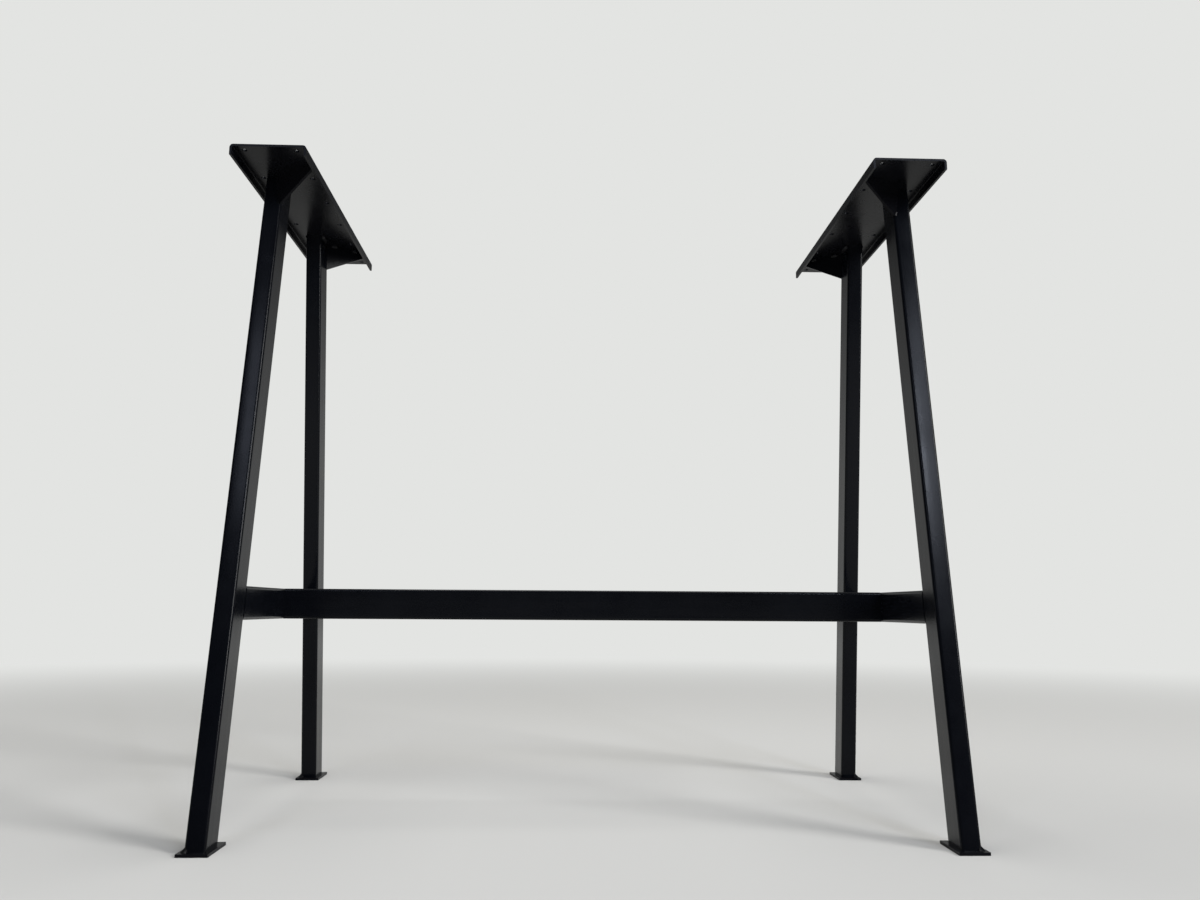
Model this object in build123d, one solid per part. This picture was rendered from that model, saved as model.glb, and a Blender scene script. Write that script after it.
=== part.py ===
from build123d import *
from math import atan2, cos, hypot, isclose, tan
import os

# Welded steel base for a small table: two end frames with leaning legs, joined by one stretcher.
# Millimetres. The origin is on the floor at the middle of the base. X runs across the base,
# Y from its front to its rear and Z up.

# Whole base
overall_height = 720.0        # floor to the faces that carry the tabletop
frame_centre = 350.0          # middle of the base to the centreline of each top channel

# Top channels: folded plate, one flange down each long side, open at both ends
channel_width = 82.0
channel_length = 370.0
channel_depth = 12.0          # over the web and a flange
channel_gauge = 2.5
channel_bend = 1.5            # inside radius of the folds
hole_diameter = 6.0
hole_row_offset = 28.0        # channel centreline to each row of screw holes
hole_end_margin = 10.0        # each end of the channel to its nearest holes
holes_in_row = 6

# Rounded rectangular tube of the legs, side rails and stretcher
tube_deep = 35.0
tube_wide = 20.0
tube_gauge = 1.5
tube_corner = 3.0             # outside radius of the long edges

# Legs
leg_offset = 14.5             # leg centreline outward of the channel centreline
leg_stance = 207.0            # middle of the base to the leg centreline at the foot plate
leg_gather = 89.0             # middle of the base to the leg centreline at the channel
rail_height = 214.0           # floor to the underside of the side rails and stretcher

# Foot plates
foot_wide = 30.0
foot_long = 50.0
foot_gauge = 3.0

# Gussets: upright triangular plates set diagonally between a leg and the inner flange
gusset_gauge = 3.0
gusset_drop = 34.0            # height of the plate at the leg
gusset_nose = 5.0             # height of the plate at the flange
gusset_run = 32.0             # reach of the plate past the leg, toward the channel's end

# Derived places
leg_x = frame_centre + leg_offset
leg_inside_x = leg_x - tube_wide / 2
channel_underside = overall_height - channel_gauge
leg_rise = channel_underside - foot_gauge
leg_shift = leg_stance - leg_gather
lean = atan2(leg_shift, leg_rise)
leg_half_depth = tube_deep / 2 / cos(lean)

corners = {
    "front_left": (-1, -1),
    "front_right": (1, -1),
    "rear_left": (-1, 1),
    "rear_right": (1, 1),
}
sides = {"left": -1, "right": 1}


def leg_centre_y(z):
    """Distance of a leg's centreline from the middle of the base at height z."""
    return leg_gather + (channel_underside - z) * tan(lean)


def at_side(piece, side_x):
    """The piece drawn on the right, or its mirror image on the left."""
    return piece if side_x > 0 else mirror(piece, Plane.YZ)


def at_corner(piece, side_x, side_y):
    """The piece drawn at the rear right, or its mirror image at another corner."""
    piece = at_side(piece, side_x)
    return piece if side_y > 0 else mirror(piece, Plane.XZ)


def tube_section():
    """Section of the rounded rectangular tube, wide along its first direction."""
    outside = RectangleRounded(tube_wide, tube_deep, tube_corner)
    bore_wide = tube_wide - 2 * tube_gauge
    bore_deep = tube_deep - 2 * tube_gauge
    bore = RectangleRounded(bore_wide, bore_deep, tube_corner - tube_gauge)
    return outside - bore


def channel_section():
    """Section of the channel: a web with two short flanges and rounded folds."""
    half = channel_width / 2
    half_inside = half - channel_gauge
    outer_bend = channel_bend + channel_gauge
    outline = Polyline(
        (-half, -channel_depth),
        (-half, 0),
        (half, 0),
        (half, -channel_depth),
        (half_inside, -channel_depth),
        (half_inside, -channel_gauge),
        (-half_inside, -channel_gauge),
        (-half_inside, -channel_depth),
        close=True,
    )
    face = make_face(outline)
    by_height = face.vertices().group_by(Axis.Y)
    face = fillet(by_height[-1], outer_bend)
    inside_corners = face.vertices().filter_by(
        lambda v: isclose(v.Y, -channel_gauge) and isclose(abs(v.X), half_inside)
    )
    return fillet(inside_corners, channel_bend)


def top_channel():
    """The right top channel with its two rows of screw holes."""
    start = Plane(
        origin=(frame_centre, channel_length / 2, overall_height),
        x_dir=(-1, 0, 0),
        z_dir=(0, 1, 0),
    )
    blank = start * extrude(channel_section(), -channel_length)
    first_hole = hole_end_margin - channel_length / 2
    hole_pitch = -2 * first_hole / (holes_in_row - 1)
    for row in (-hole_row_offset, hole_row_offset):
        for number in range(holes_in_row):
            hole_y = first_hole + number * hole_pitch
            drill = Cylinder(hole_diameter / 2, 3 * channel_gauge)
            blank -= Pos(frame_centre + row, hole_y, overall_height - channel_gauge / 2) * drill
    return blank


def leg_shape(section):
    """A length of the section along the rear right leg, mitred to the foot plate and channel."""
    middle_z = (channel_underside + foot_gauge) / 2
    middle_y = leg_centre_y(middle_z)
    along = Plane(
        origin=(leg_x, middle_y, middle_z),
        x_dir=(1, 0, 0),
        z_dir=(0, -leg_shift, leg_rise),
    )
    bar = along * extrude(section, hypot(leg_rise, leg_shift) / 2 + tube_deep, both=True)
    between = Box(2 * tube_wide, leg_shift + 3 * tube_deep, leg_rise)
    return bar & Pos(leg_x, middle_y, middle_z) * between


def leg():
    """The hollow rear right leg."""
    return leg_shape(tube_section())


def side_rail():
    """The right side rail, its ends cut to the slope of the two legs it joins."""
    low = leg_centre_y(foot_gauge) - leg_half_depth
    high = leg_centre_y(channel_underside) - leg_half_depth
    bay_outline = Polyline(
        (-low, foot_gauge),
        (low, foot_gauge),
        (high, channel_underside),
        (-high, channel_underside),
        close=True,
    )
    bay = extrude(make_face(Plane.YZ * bay_outline), tube_wide, dir=(1, 0, 0))
    across = Plane(
        origin=(leg_x, 0, rail_height + tube_deep / 2),
        x_dir=(1, 0, 0),
        z_dir=(0, 1, 0),
    )
    bar = across * extrude(tube_section(), leg_stance, both=True)
    return bar & Pos(leg_inside_x, 0, 0) * bay


def stretcher():
    """The tube on edge between the inner faces of the two side rails."""
    across = Plane(
        origin=(0, 0, rail_height + tube_deep / 2),
        x_dir=(0, 1, 0),
        z_dir=(1, 0, 0),
    )
    return across * extrude(tube_section(), leg_inside_x, both=True)


def foot_plate():
    """The flat plate welded across the foot of the rear right leg."""
    return Pos(leg_x, leg_stance, foot_gauge / 2) * Box(foot_wide, foot_long, foot_gauge)


def gusset(channel):
    """The rear right gusset, shaped to the leg and seated in the channel."""
    flange_x = frame_centre - channel_width / 2 + channel_gauge
    foot_z = channel_underside - gusset_drop
    foot_y = leg_centre_y(foot_z) + leg_half_depth
    reach_x = leg_inside_x - flange_x
    length = hypot(reach_x, gusset_run)
    end_spare = gusset_gauge / 2 * gusset_run / reach_x
    into_leg = gusset_drop * tan(lean) * length / gusset_run + 2 * tube_corner
    flat = Plane(
        origin=(leg_inside_x, foot_y, channel_underside),
        x_dir=(-reach_x, gusset_run, 0),
        z_dir=(gusset_run, reach_x, 0),
    )
    outline = Polyline(
        (-into_leg, 0),
        (length + end_spare, 0),
        (length + end_spare, -gusset_nose),
        (0, -gusset_drop),
        (-into_leg, -gusset_drop),
        close=True,
    )
    plate = flat * extrude(make_face(outline), gusset_gauge / 2, both=True)
    leg_body = leg_shape(RectangleRounded(tube_wide, tube_deep, tube_corner))
    return plate - leg_body - channel


pieces = {"stretcher": stretcher()}
right_channel = top_channel()
for side, side_x in sides.items():
    pieces[f"top_channel_{side}"] = at_side(right_channel, side_x)
    pieces[f"side_rail_{side}"] = at_side(side_rail(), side_x)
for corner, (side_x, side_y) in corners.items():
    pieces[f"leg_{corner}"] = at_corner(leg(), side_x, side_y)
    pieces[f"foot_plate_{corner}"] = at_corner(foot_plate(), side_x, side_y)
    pieces[f"gusset_{corner}"] = at_corner(gusset(right_channel), side_x, side_y)

os.makedirs("parts", exist_ok=True)
for node, piece in pieces.items():
    export_step(piece, f"parts/{node}.step")
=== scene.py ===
import bmesh
import bpy
import numpy as np
from mathutils import Matrix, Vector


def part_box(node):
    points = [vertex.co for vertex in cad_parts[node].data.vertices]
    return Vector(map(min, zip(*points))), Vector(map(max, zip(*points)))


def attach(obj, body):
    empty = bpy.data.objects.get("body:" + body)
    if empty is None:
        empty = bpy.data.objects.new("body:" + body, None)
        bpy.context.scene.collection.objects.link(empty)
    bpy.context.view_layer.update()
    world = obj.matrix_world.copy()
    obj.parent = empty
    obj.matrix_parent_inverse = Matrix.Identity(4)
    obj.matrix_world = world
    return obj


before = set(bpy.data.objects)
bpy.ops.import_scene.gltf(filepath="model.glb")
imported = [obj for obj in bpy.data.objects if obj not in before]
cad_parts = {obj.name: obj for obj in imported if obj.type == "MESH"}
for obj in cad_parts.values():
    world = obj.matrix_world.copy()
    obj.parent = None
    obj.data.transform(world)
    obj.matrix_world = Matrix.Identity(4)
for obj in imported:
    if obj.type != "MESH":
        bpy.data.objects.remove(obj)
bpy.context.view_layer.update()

MM = 0.001

# Sizes of the welded steel that the boxes of the nodes don't give. From foot to head a leg moves
# LEG_SHIFT toward the middle of its frame and rises by LEG_RISE.
TUBE_DEEP = 35 * MM
TUBE_CORNER = 3 * MM
PLATE_GAUGE = 3 * MM
LEG_SHIFT, LEG_RISE = 118.0 * MM, 714.5 * MM
LEG_LEAN = np.arctan2(LEG_SHIFT, LEG_RISE)

# The rear right leg: its middle and half its width along X, and half its depth on the level.
leg_low, leg_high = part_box("leg_rear_right")
leg_x = (leg_low[0] + leg_high[0]) / 2
half_wide = (leg_high[0] - leg_low[0]) / 2
half_deep = TUBE_DEEP / 2 / np.cos(LEG_LEAN)


def linear(hex_colour):
    """A six-digit sRGB colour as linear red, green, blue and full alpha."""
    values = []
    for start in (0, 2, 4):
        share = int(hex_colour[start:start + 2], 16) / 255
        values.append(share / 12.92 if share <= 0.04045 else ((share + 0.055) / 1.055) ** 2.4)
    return (*values, 1.0)


def add(tree, kind, settings=None, links=None):
    """One shader node: its properties or socket values, then what feeds its sockets, each by the
    name or number of the socket."""
    node = tree.nodes.new(kind)
    for name, value in (settings or {}).items():
        if isinstance(name, int) or name in node.inputs:
            node.inputs[name].default_value = value
        else:
            setattr(node, name, value)
    for name, source in (links or {}).items():
        tree.links.new(source, node.inputs[name])
    return node


def new_material(name):
    """An empty node material, its tree and its output node."""
    material = bpy.data.materials.new(name)
    material.use_nodes = True
    tree = material.node_tree
    tree.nodes.clear()
    return material, tree, add(tree, "ShaderNodeOutputMaterial")


# The colour and gloss of a powder coat drift over about this many millimetres.
DRIFT_MM = 55


def powder_coat(name, dark, light, shine, rough, grain_mm, grain_depth_mm, sag_mm, sag_depth_mm,
                turn=(0.0, 0.0, 0.0), draw=1.0, crown_mm=0.0):
    """Baked polyester powder over steel: a near-black skin with a fine orange peel that blurs
    highlights, and a slow wave from the metal beneath that makes them wander along a face. The
    wave is draw times as long in the direction that the steel was drawn, which turn brings onto
    Z. Given crown_mm, a leg's wall that faces front or rear stands that much prouder along its
    middle than beside its corners, as drawn tube does. What it lacks there grows with the square
    of the way from the middle to the corner."""
    material, tree, output = new_material(name)
    place = add(tree, "ShaderNodeTexCoord").outputs["Object"]
    drawn = add(tree, "ShaderNodeMapping",
                {"vector_type": "TEXTURE", "Rotation": turn, "Scale": (1.0, 1.0, draw)},
                {"Vector": place}).outputs["Vector"]
    grain = add(tree, "ShaderNodeTexNoise",
                {"Scale": 1 / (grain_mm * MM), "Detail": 2.0, "Roughness": 0.55},
                {"Vector": place}).outputs["Fac"]
    sag = add(tree, "ShaderNodeTexNoise",
              {"Scale": 1 / (sag_mm * MM), "Detail": 1.5, "Roughness": 0.5},
              {"Vector": drawn}).outputs["Fac"]
    cloud = add(tree, "ShaderNodeTexNoise",
                {"Scale": 1 / (DRIFT_MM * MM), "Detail": 4.0, "Roughness": 0.6},
                {"Vector": place}).outputs["Fac"]
    tone = add(tree, "ShaderNodeMix", {"data_type": "RGBA", 6: linear(dark), 7: linear(light)},
               {0: cloud})
    gloss = add(tree, "ShaderNodeMapRange",
                {"From Min": 0.3, "From Max": 0.7, "To Min": rough[0], "To Max": rough[1]},
                {"Value": cloud}).outputs["Result"]
    beneath = {}
    if crown_mm:
        sideways = add(tree, "ShaderNodeSeparateXYZ", None, {"Vector": place}).outputs["X"]
        far_out = add(tree, "ShaderNodeMath", {"operation": "ABSOLUTE"}, {0: sideways}).outputs[0]
        flat = half_wide - TUBE_CORNER
        across = add(tree, "ShaderNodeMapRange",
                     {"From Min": leg_x - flat, "From Max": leg_x + flat,
                      "To Min": -1.0, "To Max": 1.0}, {"Value": far_out}).outputs["Result"]
        squared = add(tree, "ShaderNodeMath", {"operation": "MULTIPLY"}, {0: across, 1: across})
        crown = add(tree, "ShaderNodeBump",
                    {"Strength": 1.0, "Distance": crown_mm * MM, "invert": True},
                    {"Height": squared.outputs[0]})
        beneath = {"Normal": crown.outputs["Normal"]}
    wave = add(tree, "ShaderNodeBump", {"Strength": 1.0, "Distance": sag_depth_mm * MM},
               {"Height": sag, **beneath})
    peel = add(tree, "ShaderNodeBump", {"Strength": 1.0, "Distance": grain_depth_mm * MM},
               {"Height": grain, "Normal": wave.outputs["Normal"]})
    skin = add(tree, "ShaderNodeBsdfPrincipled",
               {"Metallic": 0.0, "IOR": 1.5, "Specular IOR Level": shine},
               {"Base Color": tone.outputs[2], "Roughness": gloss,
                "Normal": peel.outputs["Normal"]})
    tree.links.new(skin.outputs["BSDF"], output.inputs["Surface"])
    return material


# Powder coat over drawn tube: semi-gloss, with long shallow waves down each wall. There is one for
# each way that a tube runs, because the waves follow it. The orange peel is drawn a little coarser
# and deeper than the real one, 1.8 mm across, so that it shows at the distance of the photograph.
LEG_CROWN_MM = 0.18
TUBE_RUNS = {
    "leg_front": ((-LEG_LEAN, 0.0, 0.0), LEG_CROWN_MM),
    "leg_rear": ((LEG_LEAN, 0.0, 0.0), LEG_CROWN_MM),
    "side_rail": ((np.pi / 2, 0.0, 0.0), 0.0),
    "stretcher": ((0.0, np.pi / 2, 0.0), 0.0),
}
finishes = {
    run: powder_coat("powder_coated_tube_" + run, dark="06070b", light="0c0e13", shine=0.13,
                     rough=(0.16, 0.24), grain_mm=1.8, grain_depth_mm=0.035, sag_mm=16,
                     sag_depth_mm=0.14, turn=turn, draw=12.0, crown_mm=crown_mm)
    for run, (turn, crown_mm) in TUBE_RUNS.items()
}
# Powder coat over laser-cut and folded plate: flat, so it mirrors what is near.
plate_coat = powder_coat("powder_coated_steel_plate", dark="08080b", light="101115", shine=0.06,
                         rough=(0.22, 0.30), grain_mm=1.6, grain_depth_mm=0.006, sag_mm=60,
                         sag_depth_mm=0.06)
for made_of_plate in ("top_channel", "gusset", "foot_plate"):
    finishes[made_of_plate] = plate_coat
# Powder coat over a weld bead: the ripples show through a rounder, softer skin.
weld_coat = powder_coat("powder_coated_weld", dark="060609", light="0b0c10", shine=0.15,
                        rough=(0.28, 0.38), grain_mm=1.1, grain_depth_mm=0.012, sag_mm=9,
                        sag_depth_mm=0.05)

for node_name, node_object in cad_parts.items():
    finish = next(coat for start, coat in finishes.items() if node_name.startswith(start))
    if not node_object.material_slots:
        node_object.data.materials.append(finish)
    for slot in node_object.material_slots:
        slot.material = finish


def even_steps(points, step, fewest=8):
    """A polyline's points moved to even steps of length, by interpolating along its running
    length."""
    spans = np.linalg.norm(np.diff(points[:, :3], axis=0), axis=1)
    run = np.concatenate([[0.0], np.cumsum(spans)])
    wanted = np.linspace(0.0, run[-1], max(fewest, int(run[-1] / step) + 1))
    return np.stack([np.interp(wanted, run, column) for column in points.T], 1), wanted


# A weld bead laid by hand. Its ripples lie a pitch apart, which wanders, and the whole bead swells
# slowly. The wander and the swell are sines that turn by one radian in the lengths given here.
BEAD_STEP = 0.35 * MM
RIPPLE_PITCH, RIPPLE_SHARE = 1.9 * MM, 0.009
WANDER_LENGTH, WANDER_TURN = 9 * MM, 1.1
SWELL_LENGTH, SWELL_SHARE = 6.5 * MM, 0.05
# The points of a bead's section, and in shares of its size the length of its tapered ends and how
# far its section closes inside the metal.
SECTION_POINTS = 9
TAPER, HEEL = 1.5, 0.15


def bead(root, out, up, size, hollow=1.5):
    """One weld bead as points and faces. At each point of its root line the section is a
    superellipse, size * (out * cos(q) ** hollow + up * sin(q) ** hollow), which bulges where
    hollow is under 2 and dips where it is over. It closes a little inside the metal. The size
    changes by a few percent with the ripples and the swell, and falls to nothing at both ends as
    a quarter circle."""
    line, run = even_steps(np.concatenate([root, out, up], 1), BEAD_STEP)
    root, out, up = line[:, :3], line[:, 3:6], line[:, 6:]
    out = out / np.linalg.norm(out, axis=1, keepdims=True)
    up = up / np.linalg.norm(up, axis=1, keepdims=True)
    end = np.clip(np.minimum(run, run[-1] - run) / (TAPER * size), 0, 1)
    ripple = np.sin(2 * np.pi * run / RIPPLE_PITCH + WANDER_TURN * np.sin(run / WANDER_LENGTH))
    swell = np.sin(run / SWELL_LENGTH)
    reach = size * np.sqrt(1 - (1 - end) ** 2) * (1 + RIPPLE_SHARE * ripple + SWELL_SHARE * swell)
    reach = reach[:, None, None]
    turn = np.linspace(0, np.pi / 2, SECTION_POINTS)[None, :, None]
    skin = root[:, None, :] + reach * (out[:, None, :] * np.cos(turn) ** hollow
                                       + up[:, None, :] * np.sin(turn) ** hollow)
    heel = root[:, None, :] - HEEL * reach * (out + up)[:, None, :]
    rings = np.concatenate([skin, heel], 1)
    rows, around = rings.shape[:2]
    row, column = np.meshgrid(np.arange(rows - 1), np.arange(around), indexing="ij")
    beside = (column + 1) % around
    faces = np.stack([row * around + column, (row + 1) * around + column,
                      (row + 1) * around + beside, row * around + beside], -1).reshape(-1, 4)
    return rings.reshape(-1, 3), faces


def straight_bead(start, end, out, up, size):
    """A bead along a straight root line."""
    twice = np.ones((2, 1))
    return bead(np.array([start, end], float), twice * np.array(out, float),
                twice * np.array(up, float), size)


# Points of a mesh that lie nearer to each other than this are doubles.
MERGE_WITHIN = 0.001 * MM


def weld_piece(name, beads, side_x, side_y):
    """Beads drawn at the rear right, carried to their own corner by the signs of X and Y, as one
    piece. Each end ring shrinks to a point, where its doubles are merged before the normals are
    worked out."""
    points, faces, count = [], [], 0
    for bead_points, bead_faces in beads:
        points.append(bead_points * np.array([side_x, side_y, 1.0]))
        faces.append(bead_faces + count)
        count += len(bead_points)
    mesh = bpy.data.meshes.new(name)
    mesh.from_pydata(np.concatenate(points).tolist(), [], np.concatenate(faces).tolist())
    work = bmesh.new()
    work.from_mesh(mesh)
    bmesh.ops.remove_doubles(work, verts=work.verts, dist=MERGE_WITHIN)
    bmesh.ops.recalc_face_normals(work, faces=work.faces)
    work.to_mesh(mesh)
    work.free()
    mesh.polygons.foreach_set("use_smooth", np.ones(len(mesh.polygons), bool))
    mesh.materials.append(weld_coat)
    piece = bpy.data.objects.new(name, mesh)
    bpy.context.scene.collection.objects.link(piece)
    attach(piece, "root")


rail_low, rail_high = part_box("side_rail_right")
gusset_low, gusset_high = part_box("gusset_rear_right")
head_y, head_z = leg_low[1] + half_deep, leg_high[2]
foot_y, foot_z = leg_high[1] - half_deep, leg_low[2]
UP_LEG = np.array([0.0, -np.sin(LEG_LEAN), np.cos(LEG_LEAN)])


def leg_y(height):
    """Y of the middle of the rear right leg at a height, along its straight lean."""
    return foot_y - (height - foot_z) * LEG_SHIFT / LEG_RISE


def foot_beads():
    """One hollow bead down the outer side of a leg's foot, turned a little way round to its front
    and rear. Its root line is two quarter circles about the middles of the tube's rounded corners,
    with a straight run between them and a short one at each end."""
    size, hollow, short_run, corner_points = 4.6 * MM, 2.3, 4 * MM, 7
    outline = []
    for side_y, first in ((-1, -np.pi / 2), (1, 0.0)):
        angle = first + np.linspace(0, np.pi / 2, corner_points)
        normal = np.stack([np.cos(angle), np.sin(angle), 0 * angle], 1)
        middle = np.array([leg_x + half_wide - TUBE_CORNER,
                           foot_y + side_y * (half_deep - TUBE_CORNER), foot_z])
        outline.append(np.concatenate([middle + TUBE_CORNER * normal, normal], 1))
    start, stop = outline[0][:1].copy(), outline[1][-1:].copy()
    start[0, 0] = stop[0, 0] = leg_x + half_wide - short_run
    line = np.concatenate([start, *outline, stop])
    return [bead(line[:, :3], line[:, 3:], np.tile(UP_LEG, (len(line), 1)), size, hollow)]


def head_beads():
    """Straight fillets along both wide sides of a leg's head, under the channel. The outer one
    stops short of the screw hole."""
    size, forward, inner_back, outer_back = 2.6 * MM, 13 * MM, 12 * MM, 8 * MM
    made = []
    for side_x, back in ((-1, inner_back), (1, outer_back)):
        side = leg_x + side_x * half_wide
        made.append(straight_bead([side, head_y - forward, head_z], [side, head_y + back, head_z],
                                  [side_x, 0, 0], [0, 0, -1], size))
    return made


def gusset_beads():
    """Two short straight stitches under the channel, on the gusset's face toward the channel's
    middle, and a tack low on its other face, where that meets the leg. The tack's root line is
    where the two planes cross."""
    stitch, stitched_shares = 2.4 * MM, ((0.04, 0.24), (0.62, 0.80))
    tack, tack_up, tack_down = 1.3 * MM, 6 * MM, 0.4 * MM
    far_spare = 1.2 * MM  # how far the plate's middle line ends short of its far corner
    near = np.array([leg_low[0], leg_y(gusset_low[2]) + half_deep])
    far = np.array([gusset_low[0], gusset_high[1] - far_spare])
    along = (far - near) / np.linalg.norm(far - near)
    aside = np.array([-along[1], along[0]])
    made = []
    for shares in stitched_shares:
        start, end = (near + share * (far - near) + aside * PLATE_GAUGE / 2 for share in shares)
        made.append(straight_bead([*start, head_z], [*end, head_z], [*aside, 0.0], [0, 0, -1],
                                  stitch))
    other_face = near - aside * PLATE_GAUGE / 2
    ends = []
    for height in (gusset_low[2] + tack_up, gusset_low[2] - tack_down):
        to_leg = (leg_y(height) + half_deep - other_face[1]) / along[1]
        ends.append([*(other_face + to_leg * along), height])
    made.append(straight_bead(*ends, [1, 0, 0], [*along, 0.0], tack))
    return made


def rail_beads():
    """Short straight fillets above and below a rail where it butts against the leg."""
    size, inset = 2.4 * MM, 2.5 * MM
    made = []
    for height, sense in ((rail_high[2], 1), (rail_low[2], -1)):
        face_y = leg_y(height) - half_deep
        made.append(straight_bead([leg_low[0] + inset, face_y, height],
                                  [leg_high[0] - inset, face_y, height],
                                  [0, -1, 0], UP_LEG * sense, size))
    return made


def stretcher_beads():
    """A straight fillet up the rear side of the stretcher's end on the right rail."""
    size = 2.6 * MM
    side_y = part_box("stretcher")[1][1]
    return [straight_bead([rail_low[0], side_y, rail_low[2] + TUBE_CORNER],
                          [rail_low[0], side_y, rail_high[2] - TUBE_CORNER],
                          [-1, 0, 0], [0, 1, 0], size)]


corners = {"front_left": (-1, -1), "front_right": (1, -1),
           "rear_left": (-1, 1), "rear_right": (1, 1)}
for corner, (side_x, side_y) in corners.items():
    weld_piece("leg_head_weld_" + corner, head_beads(), side_x, side_y)
    weld_piece("foot_weld_" + corner, foot_beads(), side_x, side_y)
    weld_piece("gusset_weld_" + corner, gusset_beads(), side_x, side_y)
    weld_piece("rail_weld_" + corner, rail_beads(), side_x, side_y)
for side, side_x in (("left", -1), ("right", 1)):
    weld_piece("stretcher_weld_" + side, stretcher_beads(), side_x, 1)


BACKDROP = "e3e4e2"


def studio_floor():
    """A disc flat at height zero, whose rings lie at a radius times the square of their share of
    the count. Painted board near the object, it passes into the backdrop's own colour farther
    out."""
    rings, spokes, radius = 39, 96, 9.0
    board_ends, backdrop_starts = 0.8, 3.6
    out = radius * (np.arange(1, rings + 1)[:, None] / rings) ** 2
    turn = np.linspace(0, 2 * np.pi, spokes, endpoint=False)[None, :]
    disc = np.stack([out * np.cos(turn), out * np.sin(turn), np.zeros((rings, spokes))], -1)
    points = np.concatenate([np.zeros((1, 3)), disc.reshape(-1, 3)])
    ring, spoke = np.meshgrid(np.arange(rings - 1), np.arange(spokes), indexing="ij")
    after = (spoke + 1) % spokes
    inner, outer = 1 + ring * spokes, 1 + (ring + 1) * spokes
    quads = np.stack([inner + spoke, outer + spoke, outer + after, inner + after], -1)
    fan = np.stack([0 * spoke[0], 1 + spoke[0], 1 + after[0]], -1)
    mesh = bpy.data.meshes.new("studio_floor")
    mesh.from_pydata(points.tolist(), [], fan.tolist() + quads.reshape(-1, 4).tolist())
    floor = bpy.data.objects.new("studio_floor", mesh)
    bpy.context.scene.collection.objects.link(floor)
    material, tree, output = new_material("painted_studio_floor")
    place = add(tree, "ShaderNodeTexCoord").outputs["Object"]
    away = add(tree, "ShaderNodeVectorMath", {"operation": "LENGTH"}, {"Vector": place})
    fade = add(tree, "ShaderNodeMapRange",
               {"From Min": board_ends, "From Max": backdrop_starts,
                "interpolation_type": "SMOOTHSTEP"}, {"Value": away.outputs["Value"]})
    board = add(tree, "ShaderNodeBsdfDiffuse", {"Color": linear("c8c7c4"), "Roughness": 0.4})
    far = add(tree, "ShaderNodeEmission", {"Color": linear(BACKDROP), "Strength": 1.0})
    both = add(tree, "ShaderNodeMixShader", None,
               {0: fade.outputs["Result"], 1: board.outputs[0], 2: far.outputs[0]})
    tree.links.new(both.outputs[0], output.inputs["Surface"])
    mesh.materials.append(material)


def soft_lamp(name, place, aim, wide, high, watts, colour="ffffff"):
    """A rectangular area lamp at a place, facing a point."""
    data = bpy.data.lights.new(name, "AREA")
    data.shape = "RECTANGLE"
    data.size, data.size_y = wide, high
    data.energy = watts
    data.color = linear(colour)[:3]
    lamp = bpy.data.objects.new(name, data)
    back = np.array(place, float) - np.array(aim, float)
    back /= np.linalg.norm(back)
    side = np.cross([0.0, 0.0, 1.0], back)
    side /= np.linalg.norm(side)
    turn = np.stack([side, np.cross(back, side), back], 1)
    lamp.matrix_world = Matrix.Translation(place) @ Matrix(turn.tolist()).to_4x4()
    lamp.visible_camera = False
    bpy.context.scene.collection.objects.link(lamp)


def studio_world():
    """Pale to the camera, and a plain fill to matt surfaces. Gloss shows the pale backdrop behind
    the object, toward +Y and low down, and a pale ceiling, with a dark room on the photographer's
    side."""
    world = bpy.data.worlds.new("studio")
    world.use_nodes = True
    tree = world.node_tree
    tree.nodes.clear()
    output = add(tree, "ShaderNodeOutputWorld")
    way = add(tree, "ShaderNodeTexCoord").outputs["Generated"]
    parts = add(tree, "ShaderNodeSeparateXYZ", None, {"Vector": way}).outputs
    soft = {"interpolation_type": "SMOOTHSTEP"}
    behind = add(tree, "ShaderNodeMapRange",
                 {"From Min": 0.05, "From Max": 0.60, "To Min": 0.02, "To Max": 0.68, **soft},
                 {"Value": parts["Y"]}).outputs["Result"]
    low_down = add(tree, "ShaderNodeMapRange",
                   {"From Min": 0.08, "From Max": 0.45, "To Min": 1.0, "To Max": 0.15, **soft},
                   {"Value": parts["Z"]}).outputs["Result"]
    ceiling = add(tree, "ShaderNodeMapRange",
                  {"From Min": 0.64, "From Max": 0.92, "To Min": 0.0, "To Max": 0.7, **soft},
                  {"Value": parts["Z"]}).outputs["Result"]
    mirrored = add(tree, "ShaderNodeMath", {"operation": "MULTIPLY_ADD"},
                   {0: behind, 1: low_down, 2: ceiling})
    rays = add(tree, "ShaderNodeLightPath").outputs
    glossy = add(tree, "ShaderNodeMath", {"operation": "MAXIMUM"},
                 {0: rays["Is Glossy Ray"], 1: rays["Is Transmission Ray"]})
    fill = add(tree, "ShaderNodeBackground", {"Color": linear(BACKDROP), "Strength": 0.5})
    room = add(tree, "ShaderNodeBackground", {"Color": linear(BACKDROP)},
               {"Strength": mirrored.outputs[0]})
    seen = add(tree, "ShaderNodeBackground", {"Color": linear(BACKDROP), "Strength": 1.0})
    unseen = add(tree, "ShaderNodeMixShader", None,
                 {0: glossy.outputs[0], 1: fill.outputs[0], 2: room.outputs[0]})
    both = add(tree, "ShaderNodeMixShader", None,
               {0: rays["Is Camera Ray"], 1: unseen.outputs[0], 2: seen.outputs[0]})
    tree.links.new(both.outputs[0], output.inputs["Surface"])
    bpy.context.scene.world = world


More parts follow.
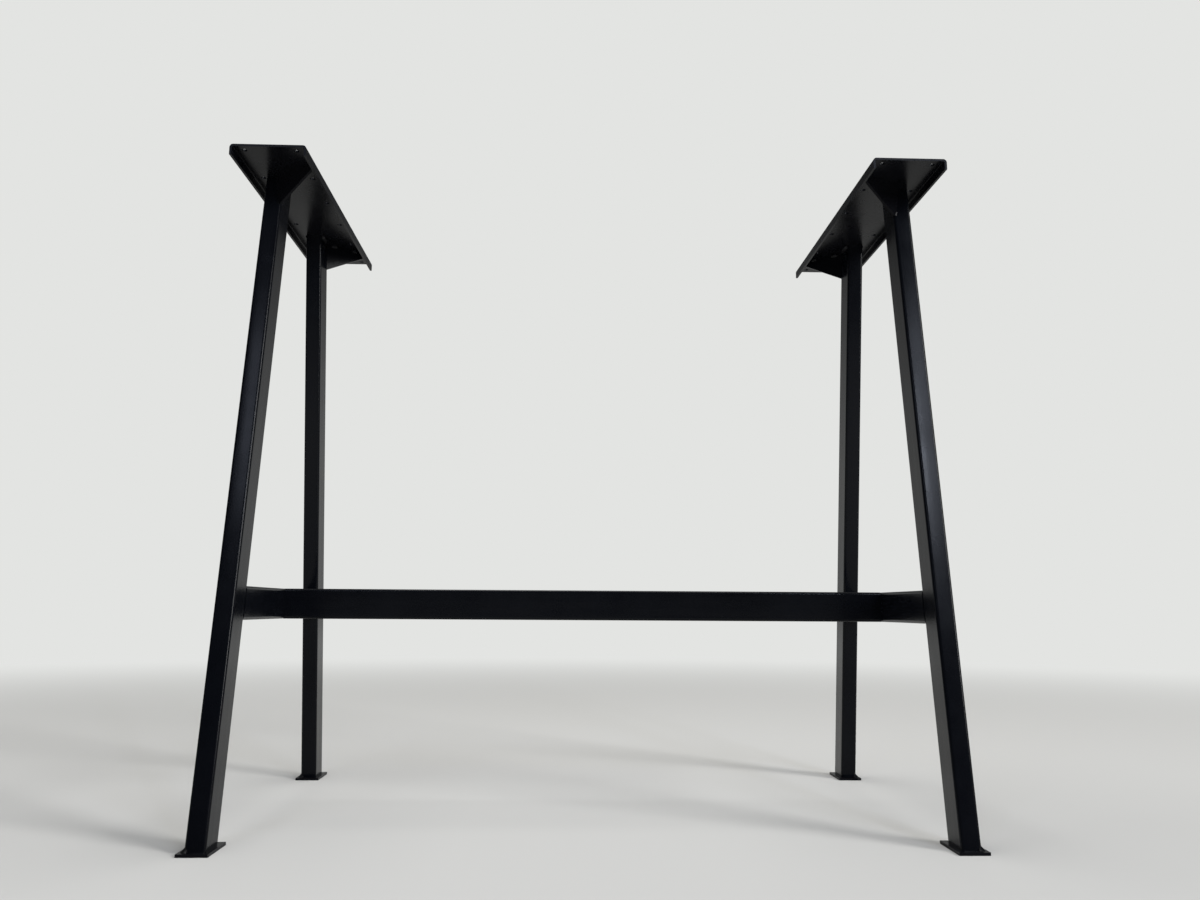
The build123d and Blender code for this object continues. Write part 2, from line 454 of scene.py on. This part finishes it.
# The focal length that was fitted to the photograph, in pixels of its width.
FOCAL_PIXELS, PHOTO_PIXELS = 991.7, 1200
SENSOR_WIDE = 36.0


def camera(place, yaw, pitch, roll):
    """A level camera facing +Y, turned right by yaw, tipped up by pitch, then rolled about its own
    line, all in radians."""
    ahead = np.array([np.sin(yaw) * np.cos(pitch), np.cos(yaw) * np.cos(pitch), np.sin(pitch)])
    right = np.array([np.cos(yaw), -np.sin(yaw), 0.0])
    down = np.cross(ahead, right)
    across = np.cos(roll) * right + np.sin(roll) * down
    upright = np.sin(roll) * right - np.cos(roll) * down
    turn = np.stack([across, upright, -ahead], 1)
    data = bpy.data.cameras.new("camera")
    data.sensor_width = SENSOR_WIDE
    data.lens = FOCAL_PIXELS / PHOTO_PIXELS * SENSOR_WIDE
    data.clip_start, data.clip_end = 0.01, 100.0
    viewer = bpy.data.objects.new("camera", data)
    viewer.matrix_world = Matrix.Translation(place) @ Matrix(turn.tolist()).to_4x4()
    bpy.context.scene.collection.objects.link(viewer)
    bpy.context.scene.camera = viewer


studio_floor()
# The front legs mirror the first two softboxes round the middle of their height, where the strip
# gives the right leg its streak. The side softbox draws thin bright lines down rounded corners.
soft_lamp("key_softbox", place=(1.45, -2.7, 1.85), aim=(0.36, -0.14, 0.48),
          wide=0.8, high=0.9, watts=15.0, colour="e6eeff")
soft_lamp("second_softbox", place=(-1.14, -2.78, 1.90), aim=(-0.36, -0.14, 0.48),
          wide=0.7, high=0.7, watts=6.0, colour="dfe8ff")
soft_lamp("strip_softbox", place=(1.18, -2.95, 1.80), aim=(0.36, -0.17, 0.38),
          wide=0.14, high=0.40, watts=6.0, colour="e6eeff")
soft_lamp("side_softbox", place=(3.4, -2.40, 1.90), aim=(-0.3, -0.1, 0.45),
          wide=1.3, high=2.4, watts=125.0)
soft_lamp("overhead_softbox", place=(0.0, 0.3, 2.3), aim=(0.0, 0.2, 0.0),
          wide=1.4, high=1.4, watts=24.0)
studio_world()
camera(place=(-0.0250, -1.2012, 0.2285), yaw=0.0345, pitch=0.1580, roll=-0.0060)
bpy.context.scene.view_settings.view_transform = "Standard"
